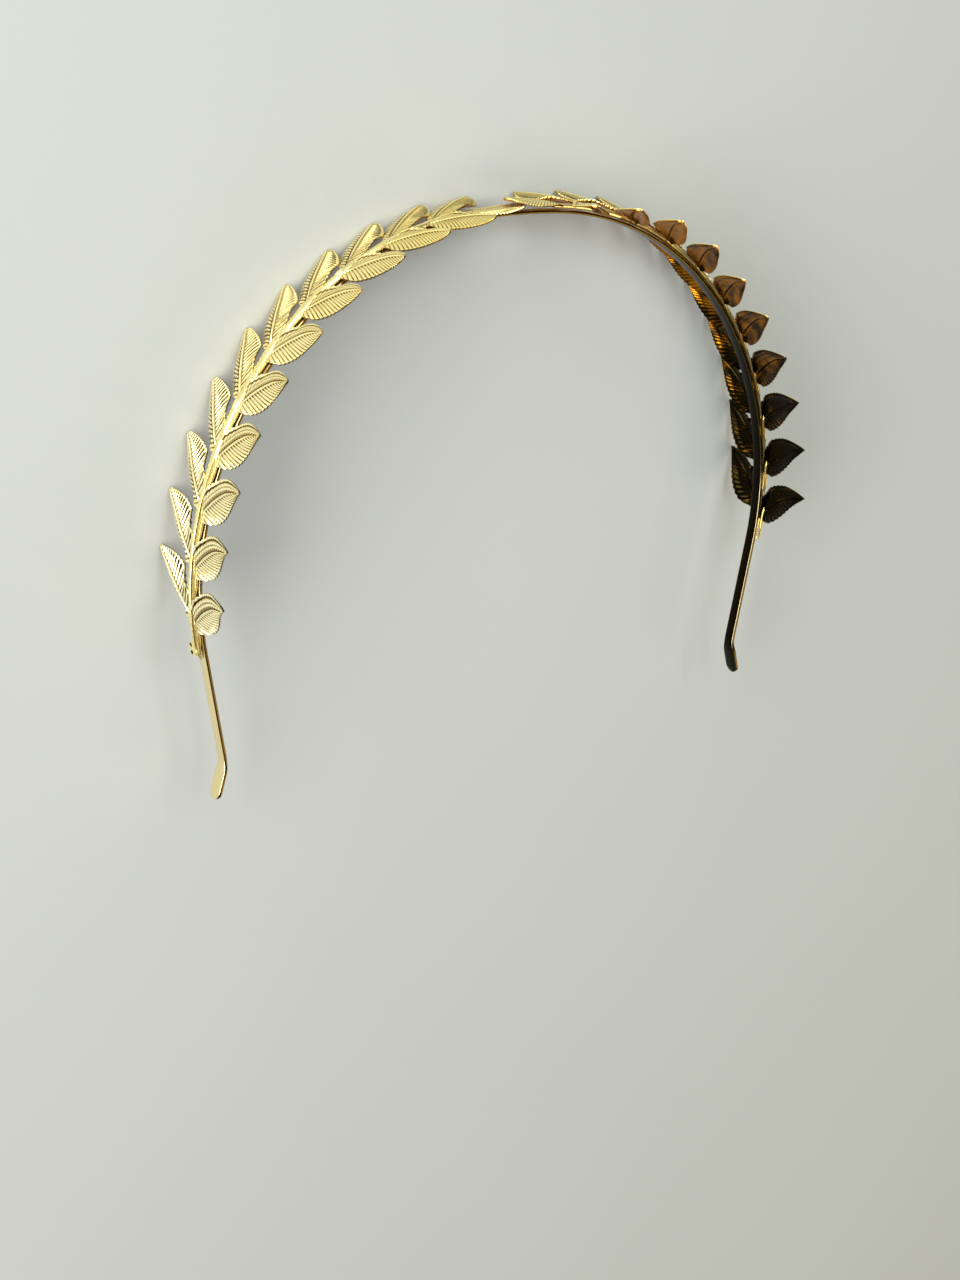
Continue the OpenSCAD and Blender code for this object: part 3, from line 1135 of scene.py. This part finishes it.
def floor_material(finish):
    """Matt pale floor with a faint cloudiness."""
    matt, make = new_material("pale_floor")
    where = make.add("ShaderNodeTexCoord").outputs["Object"]
    dim = opaque([c * FLOOR_CLOUDS for c in finish.floor])
    shader = make.add("ShaderNodeBsdfPrincipled", {
        "Base Color": make.mix(make.noise(where, 9, 5), dim, opaque(finish.floor)),
        "Roughness": FLOOR_ROUGHNESS,
    })
    make.add("ShaderNodeOutputMaterial", {"Surface": shader.outputs[0]})
    return matt


# Stage: floor, light and camera


PHOTO_HEIGHT = 1280
FOCAL_PIXELS = 2394.36
SENSOR = 36.0
CAMERA_AT = (-0.3272, 0.1623, 0.4238)
CAMERA_RIGHT = (0.7986, 0.0573, 0.5992)
CAMERA_UP = (0.1741, 0.9309, -0.3212)
ROOM_COLOUR = (0.9, 0.95, 1.0, 1)
ROOM_STRENGTH = 0.03


def photo_camera():
    """Camera that sees the headband as the photograph does."""
    right = Vector(CAMERA_RIGHT).normalized()
    back = right.cross(Vector(CAMERA_UP)).normalized()
    up = back.cross(right)
    turn = Matrix((right, up, back)).transposed().to_4x4()
    lens = bpy.data.cameras.new("photo_camera")
    lens.sensor_width = SENSOR
    lens.lens = FOCAL_PIXELS * SENSOR / PHOTO_HEIGHT
    lens.clip_start = 0.01
    camera = bpy.data.objects.new("photo_camera", lens)
    camera.matrix_world = Matrix.Translation(CAMERA_AT) @ turn
    bpy.context.scene.collection.objects.link(camera)
    bpy.context.scene.camera = camera


def soft_light(name, place, aim, width, height, power, tint):
    """Rectangular soft light that shines from place to aim."""
    lamp = bpy.data.lights.new(name, "AREA")
    lamp.shape = "RECTANGLE"
    lamp.size = width
    lamp.size_y = height
    lamp.energy = power
    lamp.color = tint
    light = bpy.data.objects.new(name, lamp)
    way = Vector(place) - Vector(aim)
    light.matrix_world = Matrix.Translation(place) @ way.to_track_quat("Z", "Y").to_matrix().to_4x4()
    bpy.context.scene.collection.objects.link(light)


def floor_object(finish):
    """Wide flat floor at height 0."""
    reach = 3.0
    corners = [(-reach, -reach, 0), (reach, -reach, 0), (reach, reach, 0), (-reach, reach, 0)]
    mesh = bpy.data.meshes.new("floor")
    mesh.from_pydata(corners, [], [(0, 1, 2, 3)])
    mesh.materials.append(floor_material(finish))
    floor = bpy.data.objects.new("floor", mesh)
    bpy.context.scene.collection.objects.link(floor)
    return floor


class HEADBAND_OT_stage(bpy.types.Operator):
    """Lays the pale floor and sets the soft lights and the camera"""
    bl_idname = "headband.stage"
    bl_label = "Floor, light and camera"

    def execute(self, context):
        ground = floor_object(context.scene.headband_finish)
        world = bpy.data.worlds.new("soft_room")
        world.use_nodes = True
        backdrop = world.node_tree.nodes["Background"]
        backdrop.inputs["Color"].default_value = ROOM_COLOUR
        backdrop.inputs["Strength"].default_value = ROOM_STRENGTH
        context.scene.world = world
        soft_light("window", (-1.0, 0.15, 0.46), (0, 0, 0.05), 1.1, 0.6, 18.5, (1.0, 0.99, 0.97))
        soft_light("ceiling", (-0.1, 0.55, 1.25), (0, 0.05, 0), 0.9, 0.9, 14.5, (0.96, 1.0, 1.0))
        soft_light("rear", (-0.35, 1.0, 0.32), (0, 0.05, 0.02), 0.8, 0.4, 5, (1.0, 0.96, 0.88))
        soft_light("corner", (0.75, -0.6, 0.9), (0.15, -0.2, 0), 0.7, 0.7, 5, (1.0, 0.86, 0.62))
        photo_camera()
        context.scene.view_settings.view_transform = "Standard"
        return {"FINISHED"}


# Panel and running


class HEADBAND_PT_panel(bpy.types.Panel):
    """Lists the steps that build the headband"""
    bl_label = "Leaf Headband"
    bl_idname = "HEADBAND_PT_panel"
    bl_space_type = "VIEW_3D"
    bl_region_type = "UI"
    bl_category = "Headband"

    def draw(self, context):
        for step in STEPS:
            self.layout.operator(step.bl_idname)
        for group in GROUPS:
            sizes = getattr(context.scene, group)
            box = self.layout.box()
            for key in sizes.__annotations__:
                box.prop(sizes, key)


STEPS = (
    HEADBAND_OT_strip,
    HEADBAND_OT_stems,
    HEADBAND_OT_leaves,
    HEADBAND_OT_stalks,
    HEADBAND_OT_eyes,
    HEADBAND_OT_stage,
)
GROUPS = {
    "headband_strip": StripSizes,
    "headband_spray": SpraySizes,
    "headband_finish": FinishColours,
}


def register():
    for group in GROUPS.values():
        bpy.utils.register_class(group)
    for name, group in GROUPS.items():
        setattr(bpy.types.Scene, name, PointerProperty(type=group))
    for step in STEPS:
        bpy.utils.register_class(step)
    bpy.utils.register_class(HEADBAND_PT_panel)


def unregister():
    bpy.utils.unregister_class(HEADBAND_PT_panel)
    for step in reversed(STEPS):
        bpy.utils.unregister_class(step)
    for name, group in GROUPS.items():
        delattr(bpy.types.Scene, name)
        bpy.utils.unregister_class(group)


def main():
    """Builds every piece in order."""
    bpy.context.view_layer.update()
    register()
    bpy.ops.headband.strip()
    bpy.ops.headband.stems()
    bpy.ops.headband.leaves()
    bpy.ops.headband.stalks()
    bpy.ops.headband.eyes()
    bpy.ops.headband.stage()


if __name__ == "__main__":
    main()
